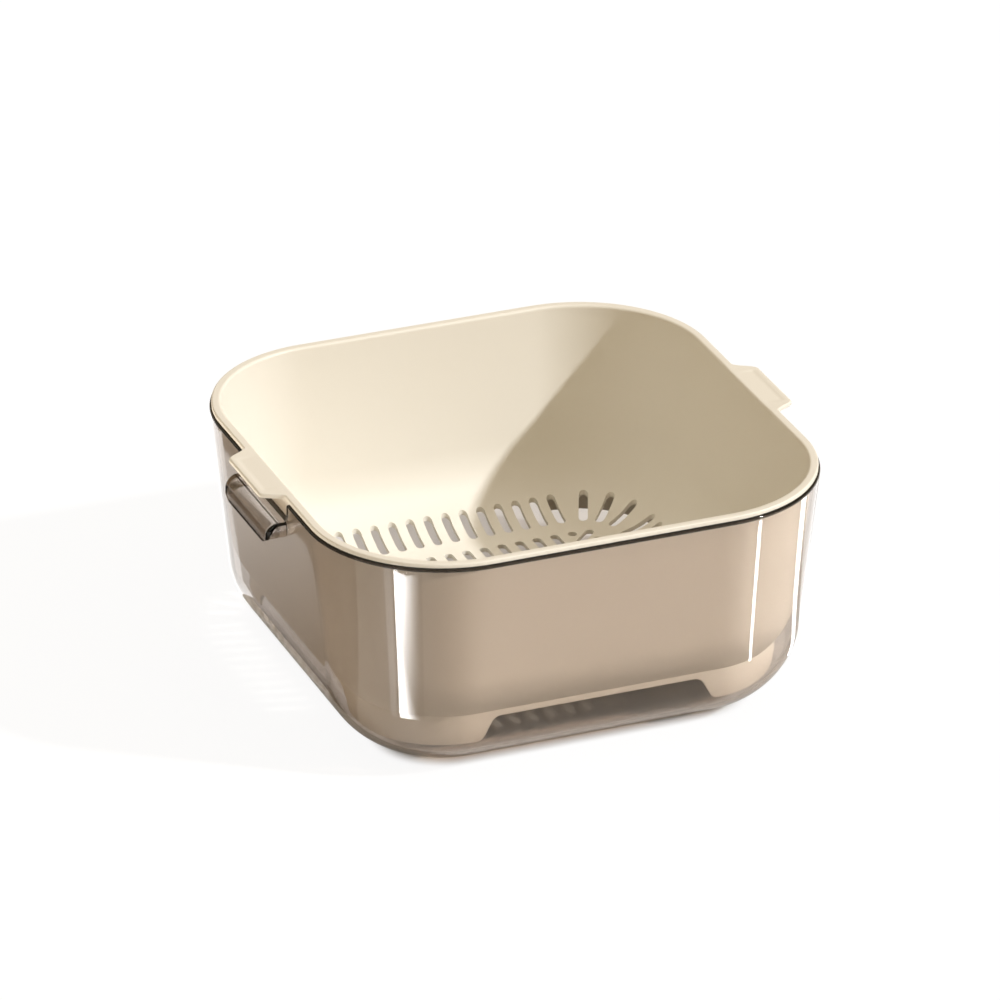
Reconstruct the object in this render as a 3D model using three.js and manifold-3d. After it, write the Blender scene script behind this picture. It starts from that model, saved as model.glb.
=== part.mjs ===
// Double layer drain basket: a clear smoky tub, and a slotted basket that hangs in it by its rim.
// Millimetres, +Z up. The origin is on the table under the middle, and the grips are on +X and -X.

import * as THREE from 'three';
import { mergeGeometries, mergeVertices } from 'three/addons/utils/BufferGeometryUtils.js';
import Module from 'manifold-3d';

// Tub
const tubWidth = 230; // across the rim, both ways
const tubHeight = 107.6;
const tubWall = 2.2; // wall and floor
const rimCornerRadius = 60; // in plan
const wallLean = 5.9; // degrees that both walls lean in towards the floor
const tubBend = 38; // outside radius from wall to floor

// Hooded grips of the tub
const gripLength = 52;
const gripDrop = 10.2; // from the rim down to the shelf of the grip
const shelfReach = 2.6; // flat shelf past the rim's edge
const gripReach = 8; // outer face of the hood past the rim's edge
const gripDepth = 9.9; // from the shelf down to the hood's lower edge
const gripWall = 2;
const gripCorner = 7; // rounded lower corners of the hood
const cutoutFlare = 3; // the cut-out in the rim is this much wider at its top, on each side

// Basket
const basketWall = 2; // wall and floor
const wallGap = 1; // between the two walls
const seatGap = 0.3; // between the tub's rim and the rim of the basket above it
const rimThickness = 1.7;
const rimSetback = 0.9; // edge of the basket's rim inside the tub's edge
const basketBend = 36; // outside radius from wall to floor
const drainSpace = 13.8; // from the tub's floor up to the basket's feet
const footDrop = 1.4; // feet below the basket's floor
const footInset = 9.2; // outside of the skirt behind the basket's wall
const footWall = 1.8;
const footGapTop = 94.6; // gap between two feet, at its top
const footGapBottom = 106.4;
const footGapHeight = 10.2;
const footRound = 3.5; // rounding of the gap's corners

// Lifting tabs of the basket
const tabLength = 35; // straight outer edge
const tabFlare = 8; // length over which each end sweeps into the rim
const tabReach = 8.5; // past the tub's edge
const tabDip = 0.2; // top of the tab below the rim
const tabThickness = 2;
const tabHollow = 0.9; // depth of the thumb hollow in the tab's top
const tabBorder = 2.4; // round the hollow

// Slots in the basket's floor
const slotWidth = 4.1;
const slotLength = 16.3;
const slotPitch = 8.45;
const slotInset = 15.1; // outer ends of the first row inside the wall
const rowBridge = 8.9; // plain floor between one row and the next
const rowCount = 3;
const fanRadius = 33.2; // outer ends of the slots that fan round a corner
const fanSlots = 3; // fanned slots in each corner of the first row
const diagonalMargin = 6.5; // inner rows stop this far short of the diagonal

// Facets
const cornerSteps = 8;
const bendSteps = 6;
const roundSteps = 4;
const slotSteps = 2;
const overlap = 1; // how far one solid is sunk into another that it joins

const wasm = await Module();
wasm.setup();

// Everything has the same corner centres in plan, so walls are true offsets of each other.
const tubHalf = tubWidth / 2;
const cornerCentre = tubHalf - rimCornerRadius;
const lean = THREE.MathUtils.degToRad(wallLean);
const bendSweep = Math.PI / 2 - lean;

// Half width of a leaning wall at height z, set back square to the tub's outer face.
const wallHalf = (z, setback) => tubHalf - (tubHeight - z) * Math.tan(lean) - setback / Math.cos(lean);

// Middle of the bend between a floor with its underside at floorZ and a wall set back from the tub's face.
const bendCentre = (floorZ, radius, setback) => {
  const topOfBend = floorZ + radius * (1 - Math.cos(bendSweep));
  return { half: wallHalf(topOfBend, setback) - radius * Math.sin(bendSweep), z: floorZ + radius };
};

const shelfZ = tubHeight - gripDrop;
const hoodBottomZ = shelfZ - gripDepth;
const footZ = tubWall + drainSpace;
const basketFloorZ = footZ + footDrop;
const rimBottomZ = tubHeight + seatGap;
const rimTopZ = rimBottomZ + rimThickness;
const tabTopZ = rimTopZ - tabDip;
const basketSetback = tubWall + wallGap;
const basketCentre = bendCentre(basketFloorZ, basketBend, basketSetback);
const basketSide = basketCentre.half + basketBend;
const footHalf = basketSide - footInset;

// Solids

const toSolid = (geometry) => {
  const bare = geometry.index ? geometry.clone() : geometry;
  bare.deleteAttribute('normal');
  bare.deleteAttribute('uv');
  const merged = mergeVertices(bare, 1e-4);
  const vertProperties = Float32Array.from(merged.attributes.position.array);
  const triVerts = Uint32Array.from(merged.index.array);
  return new wasm.Manifold(new wasm.Mesh({ numProp: 3, vertProperties, triVerts }));
};

const toGeometry = (solid) => {
  const mesh = solid.getMesh();
  const geometry = new THREE.BufferGeometry();
  geometry.setAttribute('position', new THREE.BufferAttribute(Float32Array.from(mesh.vertProperties), 3));
  geometry.setIndex(new THREE.BufferAttribute(Uint32Array.from(mesh.triVerts), 1));
  geometry.computeVertexNormals();
  return geometry;
};

// Outline of a rounded square, anticlockwise from the +X side.
const roundedSquare = (half) => {
  const radius = half - cornerCentre;
  const shape = new THREE.Shape();
  for (let corner = 0; corner < 4; corner += 1) {
    const start = corner * Math.PI / 2;
    const x = cornerCentre * Math.sign(Math.cos(start + Math.PI / 4));
    const y = cornerCentre * Math.sign(Math.sin(start + Math.PI / 4));
    shape.absarc(x, y, radius, start, start + Math.PI / 2, false);
  }
  return shape.getPoints(cornerSteps / 2); // an arc is cut into twice the number given
};

// Carries a profile of [half width, height] points round the rounded square. A profile that closes on
// itself makes a ring, and an open one is closed by a flat face over its first and last outline.
const squareLoft = (profile, closedRing) => {
  const rings = profile.map(([half, z]) => roundedSquare(half).map((p) => [p.x, p.y, z]));
  const count = rings[0].length;
  const position = rings.flat(2);
  const index = [];
  const last = closedRing ? rings.length : rings.length - 1;
  for (let r = 0; r < last; r += 1) {
    const low = r * count;
    const high = ((r + 1) % rings.length) * count;
    for (let i = 0; i < count; i += 1) {
      const j = (i + 1) % count;
      index.push(low + i, low + j, high + j, low + i, high + j, high + i);
    }
  }
  if (!closedRing) {
    const [first, end] = [profile[0], profile[profile.length - 1]];
    position.push(0, 0, first[1], 0, 0, end[1]);
    const firstMiddle = rings.length * count;
    const endStart = (rings.length - 1) * count;
    for (let i = 0; i < count; i += 1) {
      const j = (i + 1) % count;
      index.push(firstMiddle, j, i, firstMiddle + 1, endStart + i, endStart + j);
    }
  }
  const geometry = new THREE.BufferGeometry();
  geometry.setAttribute('position', new THREE.Float32BufferAttribute(position, 3));
  geometry.setIndex(index);
  return toSolid(geometry);
};

// Points of a bend from floor to wall.
const bendPoints = (centre, radius) => {
  const points = [];
  for (let i = 0; i <= bendSteps; i += 1) {
    const turn = bendSweep * i / bendSteps;
    points.push([centre.half + radius * Math.sin(turn), centre.z - radius * Math.cos(turn)]);
  }
  return points;
};

// Prism of a shape drawn in the plane across an axis: along Z the shape is in x, y; along Y it is in
// x, z; along X it is in y, z.
const prism = (shape, axis, from, to) => {
  const geometry = new THREE.ExtrudeGeometry(shape, {
    depth: to - from,
    bevelEnabled: false,
    steps: 1,
    curveSegments: roundSteps,
  });
  geometry.translate(0, 0, from);
  if (axis === 'y') {
    geometry.applyMatrix4(new THREE.Matrix4().set(1, 0, 0, 0, 0, 0, -1, 0, 0, 1, 0, 0, 0, 0, 0, 1));
  }
  if (axis === 'x') {
    geometry.applyMatrix4(new THREE.Matrix4().set(0, 0, 1, 0, 1, 0, 0, 0, 0, 1, 0, 0, 0, 0, 0, 1));
  }
  return toSolid(geometry);
};

const halfTurn = (solid) => solid.rotate([0, 0, 180]);
const quarterTurn = (solid) => solid.rotate([0, 0, 90]);

// Outer tub

const tubShell = () => {
  const centre = bendCentre(0, tubBend, 0);
  const outside = bendPoints(centre, tubBend);
  const inside = bendPoints(centre, tubBend - tubWall).reverse();
  const rim = [[tubHalf, tubHeight], [wallHalf(tubHeight, tubWall), tubHeight]];
  return squareLoft([...outside, ...rim, ...inside], false);
};

// Cut-out in the rim above a grip, down to the grip's shelf.
const rimCutout = () => {
  const bottom = gripLength / 2;
  const rise = gripDrop + overlap;
  const top = bottom + cutoutFlare * rise / gripDrop;
  const shape = new THREE.Shape();
  shape.moveTo(-bottom, shelfZ);
  shape.lineTo(bottom, shelfZ);
  shape.lineTo(top, shelfZ + rise);
  shape.lineTo(-top, shelfZ + rise);
  return prism(shape, 'x', cornerCentre, tubHalf + overlap);
};

// Side view of the hood: flat shelf, rounded shoulder, upright face. thickness takes it inwards.
const hoodSection = (root, thickness, bottom) => {
  const face = tubHalf + gripReach - thickness;
  const shoulder = tubHalf + shelfReach - thickness;
  const top = shelfZ - thickness;
  const shape = new THREE.Shape();
  shape.moveTo(root, bottom);
  shape.lineTo(face, bottom);
  shape.lineTo(face, top - (gripReach - shelfReach));
  shape.absellipse(shoulder, top - (face - shoulder), face - shoulder, face - shoulder, 0, Math.PI / 2, false, 0);
  shape.lineTo(root, top);
  return shape;
};

// Front view of the hood, with its rounded lower corners.
const hoodFront = () => {
  const half = gripLength / 2;
  const shape = new THREE.Shape();
  shape.moveTo(-half, shelfZ + overlap);
  shape.lineTo(-half, hoodBottomZ + gripCorner);
  shape.absarc(-half + gripCorner, hoodBottomZ + gripCorner, gripCorner, Math.PI, 1.5 * Math.PI, false);
  shape.absarc(half - gripCorner, hoodBottomZ + gripCorner, gripCorner, 1.5 * Math.PI, 2 * Math.PI, false);
  shape.lineTo(half, shelfZ + overlap);
  return shape;
};

// The hood is open below, and its root is sunk into the middle of the tub's wall.
const hood = () => {
  const half = gripLength / 2;
  const middle = (shelfZ + hoodBottomZ) / 2;
  const root = wallHalf(middle, tubWall / 2);
  const wallFace = wallHalf(hoodBottomZ, 0);
  const block = prism(hoodSection(root, 0, hoodBottomZ), 'y', -half, half);
  const front = prism(hoodFront(), 'x', root - overlap, tubHalf + gripReach + overlap);
  const hollow = hoodSection(wallFace, gripWall, hoodBottomZ - overlap);
  return block.intersect(front).subtract(prism(hollow, 'y', gripWall - half, half - gripWall));
};

const outerTub = () => {
  const cutout = rimCutout();
  const grip = hood();
  return tubShell()
    .subtract(cutout)
    .subtract(halfTurn(cutout))
    .add(grip)
    .add(halfTurn(grip));
};

// Drain basket

const basketShell = () => {
  const outside = bendPoints(basketCentre, basketBend);
  const inside = bendPoints(basketCentre, basketBend - basketWall).reverse();
  const rimHalf = tubHalf - rimSetback;
  const rim = [
    [wallHalf(rimBottomZ, basketSetback), rimBottomZ],
    [rimHalf, rimBottomZ],
    [rimHalf, rimTopZ],
    [wallHalf(rimTopZ, basketSetback + basketWall), rimTopZ],
  ];
  return squareLoft([...outside, ...rim, ...inside], false);
};

// One slot in plan: round ends, from one distance to another along a direction from a middle point.
const slotShape = (middle, angle, from, to) => {
  const radius = slotWidth / 2;
  const along = new THREE.Vector2(Math.cos(angle), Math.sin(angle));
  const near = middle.clone().addScaledVector(along, from + radius);
  const far = middle.clone().addScaledVector(along, to - radius);
  const shape = new THREE.Shape();
  shape.absarc(far.x, far.y, radius, angle - Math.PI / 2, angle + Math.PI / 2, false);
  shape.absarc(near.x, near.y, radius, angle + Math.PI / 2, angle + 1.5 * Math.PI, false);
  return shape;
};

// Slots of one quarter of a row: those square to the +X side, then those round its corner with +Y.
const quarterRow = (row) => {
  const outer = basketSide - slotInset - row * (slotLength + rowBridge);
  const inner = outer - slotLength;
  const fan = basketSide - slotInset - fanRadius;
  const perHalf = Math.floor(Math.min(outer, fan) / slotPitch + 0.5);
  const shapes = [];
  for (let k = -perHalf; k < perHalf; k += 1) {
    const y = (k + 0.5) * slotPitch;
    const start = row === 0 ? inner : Math.max(inner, Math.abs(y) + diagonalMargin);
    const from = Math.min(start, outer - slotWidth * 1.01);
    if (from > Math.abs(y)) {
      shapes.push(slotShape(new THREE.Vector2(0, y), 0, from, outer));
    }
  }
  const corner = new THREE.Vector2(fan, fan);
  if (row === 0) {
    for (let k = 1; k <= fanSlots; k += 1) {
      const angle = Math.PI / 2 * k / (fanSlots + 1);
      shapes.push(slotShape(corner, angle, fanRadius - slotLength, fanRadius));
    }
  } else {
    const tip = outer * Math.SQRT2 - slotWidth / 2;
    shapes.push(slotShape(new THREE.Vector2(0, 0), Math.PI / 4, tip - slotLength, tip));
  }
  return shapes;
};

const slotCutters = () => {
  const shapes = Array.from({ length: rowCount }, (_, row) => quarterRow(row)).flat();
  const top = basketFloorZ + basketBend;
  const settings = { depth: top - footZ, bevelEnabled: false, steps: 1, curveSegments: slotSteps };
  const quarter = mergeGeometries(shapes.map((shape) => new THREE.ExtrudeGeometry(shape, settings)));
  quarter.translate(0, 0, footZ);
  const turns = [0, 1, 2, 3].map((turn) => quarter.clone().rotateZ(turn * Math.PI / 2));
  return toSolid(mergeGeometries(turns));
};

// Height of the basket's bend at a half width, a given depth inside its wall.
const bendHeight = (half, depth) => {
  const radius = basketBend - depth;
  return basketCentre.z - Math.sqrt(radius ** 2 - (half - basketCentre.half) ** 2);
};

// Gap between two feet, with rounded corners above and below.
const footGap = () => {
  const top = footZ + footGapHeight;
  const side = new THREE.Vector2(footGapTop - footGapBottom, 2 * footGapHeight).setLength(footRound);
  const [low, high] = [footGapBottom / 2, footGapTop / 2];
  const shape = new THREE.Shape();
  shape.moveTo(-low - footRound, footZ - overlap);
  shape.lineTo(low + footRound, footZ - overlap);
  shape.lineTo(low + footRound, footZ);
  shape.quadraticCurveTo(low, footZ, low + side.x, footZ + side.y);
  shape.lineTo(high - side.x, top - side.y);
  shape.quadraticCurveTo(high, top, high - footRound, top);
  shape.lineTo(footRound - high, top);
  shape.quadraticCurveTo(-high, top, side.x - high, top - side.y);
  shape.lineTo(-low - side.x, footZ + side.y);
  shape.quadraticCurveTo(-low, footZ, -low - footRound, footZ);
  return prism(shape, 'y', -footHalf - overlap, footHalf + overlap);
};

// Upright skirt, sunk into the middle of the basket's bend. A gap in each side leaves four corner feet.
const feet = () => {
  const inside = footHalf - footWall;
  const ring = squareLoft([
    [inside, footZ],
    [footHalf, footZ],
    [footHalf, bendHeight(footHalf, basketWall / 2)],
    [inside, bendHeight(inside, basketWall / 2)],
  ], true);
  const gap = footGap();
  return ring.subtract(gap).subtract(quarterTurn(gap));
};

// Stations along a tab, from its middle to the rim: [distance, sweep from 0 at the rim to 1 on the tab].
const tabStations = () => {
  const stations = [[0, 1]];
  for (let i = 0; i <= bendSteps; i += 1) {
    const share = i / bendSteps;
    stations.push([tabLength / 2 + tabFlare * share, (1 + Math.cos(Math.PI * share)) / 2]);
  }
  const mirrored = stations.slice(1).map(([y, sweep]) => [-y, sweep]).reverse();
  return [...mirrored, ...stations];
};

// A tab is a flat plate, lofted along the rim with its ends swept into it.
const tab = () => {
  const root = wallHalf(tabTopZ - tabThickness, basketSetback + basketWall / 2);
  const rimEdge = tubHalf - rimSetback;
  const rimMiddle = (rimBottomZ + rimTopZ) / 2;
  const rings = tabStations().map(([y, sweep]) => {
    const edge = rimEdge - overlap / 2 + sweep * (tabReach + rimSetback + overlap / 2);
    const bottom = rimMiddle + sweep * (tabTopZ - tabThickness - rimMiddle);
    return [
      [root, y, bottom],
      [edge, y, bottom],
      [edge, y, tabTopZ],
      [root, y, tabTopZ],
    ];
  });
  const sides = rings[0].length;
  const index = [];
  for (let r = 0; r + 1 < rings.length; r += 1) {
    for (let i = 0; i < sides; i += 1) {
      const j = (i + 1) % sides;
      const [a, b] = [r * sides, (r + 1) * sides];
      index.push(a + i, b + j, a + j, a + i, b + i, b + j);
    }
  }
  const outline = rings[0].map(([x, , z]) => new THREE.Vector2(x, z));
  const end = (rings.length - 1) * sides;
  for (const [a, b, c] of THREE.ShapeUtils.triangulateShape(outline, [])) {
    index.push(a, b, c, end + c, end + b, end + a);
  }
  const geometry = new THREE.BufferGeometry();
  geometry.setAttribute('position', new THREE.Float32BufferAttribute(rings.flat(2), 3));
  geometry.setIndex(index);
  return toSolid(geometry);
};

// Thumb hollow in a tab's top, which slopes down from the rim and rises steeply to the outer border.
const hollowCutter = () => {
  const start = tubHalf - rimSetback - tabBorder;
  const end = tubHalf + tabReach - tabBorder;
  const half = tabLength / 2 - tabBorder;
  const shape = new THREE.Shape();
  shape.moveTo(start, rimTopZ);
  shape.lineTo(end - tabHollow, tabTopZ - tabHollow);
  shape.lineTo(end, tabTopZ);
  shape.lineTo(end, rimTopZ + overlap);
  shape.lineTo(start, rimTopZ + overlap);
  return prism(shape, 'y', -half, half);
};

const drainBasket = () => {
  const plate = tab();
  const hollow = hollowCutter();
  return basketShell()
    .subtract(slotCutters())
    .add(feet())
    .add(plate)
    .add(halfTurn(plate))
    .subtract(hollow)
    .subtract(halfTurn(hollow));
};

// Assembly

const makePiece = (name, solid, look) => {
  const mesh = new THREE.Mesh(toGeometry(solid), new THREE.MeshStandardMaterial(look));
  mesh.name = name;
  return mesh;
};

const smokyClear = { color: 0x9c8a7a, roughness: 0.08, metalness: 0, transparent: true, opacity: 0.45 };
const creamSatin = { color: 0xf1e6d2, roughness: 0.42, metalness: 0 };

const drainBasketSet = new THREE.Group();
drainBasketSet.name = 'double_layer_drain_basket';
drainBasketSet.add(makePiece('outer_tub', outerTub(), smokyClear));
drainBasketSet.add(makePiece('drain_basket', drainBasket(), creamSatin));

export default drainBasketSet;
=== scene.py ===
import math

import bpy
import numpy as np
from mathutils import Matrix


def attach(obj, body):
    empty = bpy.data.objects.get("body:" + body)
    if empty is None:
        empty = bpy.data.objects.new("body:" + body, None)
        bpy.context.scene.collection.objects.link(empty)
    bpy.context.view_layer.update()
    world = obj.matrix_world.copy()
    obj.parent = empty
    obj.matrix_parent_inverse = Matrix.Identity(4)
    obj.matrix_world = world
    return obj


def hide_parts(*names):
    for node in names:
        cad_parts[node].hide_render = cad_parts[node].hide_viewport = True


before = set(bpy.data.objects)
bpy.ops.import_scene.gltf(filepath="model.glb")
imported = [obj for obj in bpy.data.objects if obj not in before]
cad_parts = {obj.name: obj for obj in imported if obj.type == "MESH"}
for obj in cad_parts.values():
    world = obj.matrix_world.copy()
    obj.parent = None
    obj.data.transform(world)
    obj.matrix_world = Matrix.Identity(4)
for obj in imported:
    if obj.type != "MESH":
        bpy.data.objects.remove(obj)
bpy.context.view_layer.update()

mm = 0.001

# Sizes below are in millimetres, in the CAD frame: +Z up, grips on +X and -X.
plan = {
    "half": 115.0,  # tub's rim
    "corner": 55.0,  # corner centres that every section shares
    "rimZ": 107.6,
    "leanDeg": 5.9,
    "cornerSteps": 30,
    "rowNudge": 0.35,  # from the end of a wall to its first row
    "sharpDeg": 32.0,  # edges that turn more than this stay sharp
    "tiny": 0.2,  # radius of corners that no surface shows
}
lean = math.radians(plan["leanDeg"])
bendSweep = math.pi / 2 - lean


def wallHalf(z, setback):  # half width of a leaning wall at height z, set back square to the tub's face
    return plan["half"] - (plan["rimZ"] - z) * math.tan(lean) - setback / math.cos(lean)


def bendCentre(floorZ, radius, setback):  # middle of the round between a floor and a leaning wall
    topZ = floorZ + radius * (1 - math.cos(bendSweep))
    return wallHalf(topZ, setback) - radius * math.sin(bendSweep), floorZ + radius


def arc(centreX, centreY, radius, start, end, steps):  # points at even angles, as two arrays
    turn = np.linspace(start, end, steps + 1)
    return centreX + radius * np.cos(turn), centreY + radius * np.sin(turn)


def wallRows(fromZ, toZ, setback, count):  # rows of a leaning wall, the end ones close to its ends
    nudge = math.copysign(plan["rowNudge"], toZ - fromZ)
    z = np.linspace(fromZ + nudge, toZ - nudge, count)
    return wallHalf(z, setback), z


def smoothStep(value):  # 0 below 0 and 1 above 1
    value = np.clip(value, 0, 1)
    return value * value * (3 - 2 * value)


def squarePath(stops):
    # Walks a square of half size corner: each stop has a base point on it and an outward normal,
    # which stays put along a side and swings a quarter turn at a corner.
    corner = plan["corner"]
    swing = np.linspace(0, math.pi / 2, plan["cornerSteps"] + 1)[1:-1]
    base, normal = [], []
    for side in range(4):
        turn = side * math.pi / 2
        out = np.array([math.cos(turn), math.sin(turn)])
        along = np.array([-math.sin(turn), math.cos(turn)])
        base.append(corner * out + stops[:, None] * along)
        normal.append(np.tile(out, (len(stops), 1)))
        base.append(np.tile(corner * (out + along), (len(swing), 1)))
        normal.append(np.stack([np.cos(turn + swing), np.sin(turn + swing)], axis=1))
    return np.concatenate(base), np.concatenate(normal)


def carry(half, z, path):
    # A profile of half widths and heights carried round the path: base + (half - corner) * normal.
    base, normal = path
    half, z = np.broadcast_arrays(half, z)
    full = np.broadcast_to(half, (half.shape[0], len(base))) - plan["corner"]
    height = np.broadcast_to(z, full.shape)
    x = base[:, 0] + full * normal[:, 0]
    y = base[:, 1] + full * normal[:, 1]
    return np.stack([x, y, height], axis=2)


def gridFaces(rows, columns, closedRows):
    # Quads of a grid whose columns wrap round; closedRows also joins the last row to the first.
    last = rows if closedRows else rows - 1
    row, column = np.meshgrid(np.arange(last), np.arange(columns), indexing="ij")
    nextRow, nextColumn = (row + 1) % rows, (column + 1) % columns
    corners = [row * columns + column, row * columns + nextColumn,
               nextRow * columns + nextColumn, nextRow * columns + column]
    return np.stack(corners, axis=2).reshape(-1, 4)


def linkObject(name, data):
    made = bpy.data.objects.new(name, data)
    bpy.context.scene.collection.objects.link(made)
    return made


def makeObject(name, points, faces):
    mesh = bpy.data.meshes.new(name)
    mesh.from_pydata((points.reshape(-1, 3) * mm).tolist(), [], faces)
    mesh.update()
    return linkObject(name, mesh)


def shellObject(name, points, flip=False):
    # A grid of outlines, closed by a flat face over the first and the last. flip turns the faces over.
    rows, columns = points.shape[:2]
    faces = gridFaces(rows, columns, False).tolist()
    faces.append(list(range(columns))[::-1])
    faces.append(list(range((rows - 1) * columns, rows * columns)))
    if flip:
        faces = [face[::-1] for face in faces]
    return makeObject(name, points, faces)


def ringObject(name, points):  # a closed section carried round a closed path
    rows, columns = points.shape[:2]
    return makeObject(name, points, gridFaces(rows, columns, True).tolist())


def prisms(outlines, depths):
    # Points and faces of outlines, each set at a low and a high depth and closed at both ends. The
    # outlines are an array of shape, point and the point's two values, which come first in each point.
    shapes, count = outlines.shape[:2]
    level = np.broadcast_to(np.array(depths)[None, :, None, None], (shapes, 2, count, 1))
    flat = np.broadcast_to(outlines[:, None], (shapes, 2, count, 2))
    points = np.concatenate([flat, level], axis=3)
    start = (np.arange(shapes) * 2 * count)[:, None]
    i = np.arange(count)[None]
    j = (i + 1) % count
    sides = np.stack([start + i, start + j, start + count + j, start + count + i], axis=2).reshape(-1, 4)
    low = (start + i)[:, ::-1]
    high = start + count + i
    return points, sides.tolist() + low.tolist() + high.tolist()


def roundedOutline(corners, radii, steps):
    # Polygon whose corners are replaced by arcs tangent to both edges: the arc's middle lies on the
    # bisector, radius / sin(half angle) from the corner.
    corners = np.array(corners, float)
    before = np.roll(corners, 1, axis=0) - corners
    after = np.roll(corners, -1, axis=0) - corners
    before /= np.linalg.norm(before, axis=1)[:, None]
    after /= np.linalg.norm(after, axis=1)[:, None]
    halfAngle = np.arccos(np.clip((before * after).sum(axis=1), -1, 1)) / 2
    bisector = before + after
    bisector /= np.linalg.norm(bisector, axis=1)[:, None]
    radii = np.array(radii, float)
    middle = corners + bisector * (radii / np.sin(halfAngle))[:, None]
    first = corners + before * (radii / np.tan(halfAngle))[:, None] - middle
    last = corners + after * (radii / np.tan(halfAngle))[:, None] - middle
    share = np.linspace(0, 1, steps + 1)[None, :, None]
    chord = first[:, None] * (1 - share) + last[:, None] * share
    length = np.linalg.norm(chord, axis=2, keepdims=True)
    spread = chord / np.maximum(length, 1e-9) * radii[:, None, None]
    return (middle[:, None] + spread).reshape(-1, 2)


def booleanWith(piece, other, operation):  # bakes the change into the piece and drops the other mesh
    change = piece.modifiers.new(operation.lower(), "BOOLEAN")
    change.operation = operation
    change.solver = "MANIFOLD"
    change.object = other
    evaluated = piece.evaluated_get(bpy.context.evaluated_depsgraph_get())
    made = bpy.data.meshes.new_from_object(evaluated)
    piece.modifiers.clear()
    old = piece.data
    piece.data = made
    made.name = piece.name
    bpy.data.meshes.remove(old)
    bpy.data.meshes.remove(other.data)


def smoothShade(piece):
    piece.data.shade_smooth()
    piece.data.set_sharp_from_angle(angle=math.radians(plan["sharpDeg"]))


# Smoky tub
tub = {
    "wall": 2.2,
    "bend": 38.0,
    "bendSteps": 30,
    "wallRows": 18,
    "sideStops": 23,
    "rimRound": 1.0,
    "rimSteps": 5,
    "cutHalf": 26.0,  # cut-out in the rim, at the shelf
    "cutFlare": 3.0,  # wider by this at the rim
    "cutRounds": (3.0, 2.5),  # lower and upper corners
    "cutSteps": 6,
    "cutPast": (12.0, 5.0),  # the cutter runs on this far sideways and up
    "cutLift": 0.02,  # and turns sideways this far above the rim
    "cutDepth": (90.0, 130.0),  # x where it starts and ends
    "shelfZ": 97.4,
    "shelfEnd": 117.6,
    "hoodFace": 123.0,
    "hoodZ": 87.5,
    "hoodWall": 2.0,
    "hoodCorner": 7.0,  # lower corners, seen from the side
    "hoodEdge": 1.8,  # upright edges, seen from above
    "hoodEdgeLeast": 0.3,  # the same in the hollow
    "hoodStops": 61,
    "hoodSteps": 12,  # round the shoulder
    "hollowPast": 4.0,  # the hollow's cutter runs on this far below the hood
}


def tubShell():
    # Floor, round, leaning wall and round rim, then back down the inside a wall's thickness away.
    wall, bend, edge = tub["wall"], tub["bend"], tub["rimRound"]
    half, height = bendCentre(0, bend, 0)
    outH, outZ = arc(half, height, bend, -math.pi / 2, -lean, tub["bendSteps"])
    inH, inZ = arc(half, height, bend - wall, -lean, -math.pi / 2, tub["bendSteps"])
    topZ = plan["rimZ"] - edge
    outerRim = arc(wallHalf(topZ, 0) - edge, topZ, edge, 0, math.pi / 2, tub["rimSteps"])
    innerRim = arc(wallHalf(topZ, wall) + edge, topZ, edge, math.pi / 2, math.pi, tub["rimSteps"])
    outer = wallRows(outZ[-1], topZ, 0, tub["wallRows"])
    inner = wallRows(topZ, inZ[0], wall, tub["wallRows"])
    profileH = np.concatenate([outH, outer[0], outerRim[0], innerRim[0], inner[0], inH])
    profileZ = np.concatenate([outZ, outer[1], outerRim[1], innerRim[1], inner[1], inZ])
    path = squarePath(np.linspace(-plan["corner"], plan["corner"], tub["sideStops"]))
    return shellObject("tubShell", carry(profileH[:, None], profileZ[:, None], path))


def hoodSolid(name, side, inset, root, bottom):
    # Section of shelf, round shoulder and upright face, carried along y. Near the ends the face draws
    # back by a quarter circle, and the lower edge lifts by another. With an inset it is the hollow inside
    # the hood, whose lower edge stays level.
    halfLength = tub["cutHalf"] - inset
    ease = np.sin(np.linspace(-math.pi / 2, math.pi / 2, tub["hoodStops"]))
    y = (halfLength * ease)[None]
    edge = max(tub["hoodEdge"] - inset, tub["hoodEdgeLeast"])
    past = np.clip(np.abs(y) - (halfLength - edge), 0, edge)
    face = tub["hoodFace"] - inset - edge + np.sqrt(edge**2 - past**2)
    corner = tub["hoodCorner"]
    past = np.clip(np.abs(y) - (halfLength - corner), 0, corner)
    lift = corner - np.sqrt(corner**2 - past**2)
    low = bottom + (0 * lift if inset else lift)
    top = tub["shelfZ"] - inset
    shoulder = tub["shelfEnd"] - inset
    drop = tub["hoodFace"] - tub["shelfEnd"]
    flat = 0 * y
    turn = np.linspace(0, math.pi / 2, tub["hoodSteps"] + 1)[:, None]
    x = np.concatenate([root + flat, face, shoulder + (face - shoulder) * np.cos(turn), root + flat])
    z = np.concatenate([low + flat, low + flat, top - drop + drop * np.sin(turn) + flat, top + flat])
    points = np.stack([side * x, np.broadcast_to(side * y, x.shape), z], axis=2)
    return shellObject(name, points.transpose(1, 0, 2), flip=True)


def rimCutter(side):
    # Outline of the cut-out with flared ends and round corners, wider above the rim, run out along x.
    half, flare = tub["cutHalf"], tub["cutFlare"]
    low, high = tub["shelfZ"], plan["rimZ"] + tub["cutLift"]
    wide, tall = half + tub["cutPast"][0], high + tub["cutPast"][1]
    corners = [(-half, low), (half, low), (half + flare, high), (wide, high), (wide, tall),
               (-wide, tall), (-wide, high), (-half - flare, high)]
    below, above = tub["cutRounds"]
    radii = [below, below, above, *[plan["tiny"]] * 4, above]
    outline = roundedOutline(corners, radii, tub["cutSteps"])
    points, faces = prisms(outline[None], tub["cutDepth"])
    turned = np.stack([side * points[..., 2], side * points[..., 0], points[..., 1]], axis=-1)
    return makeObject("rimCutter", turned, faces)


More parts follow.
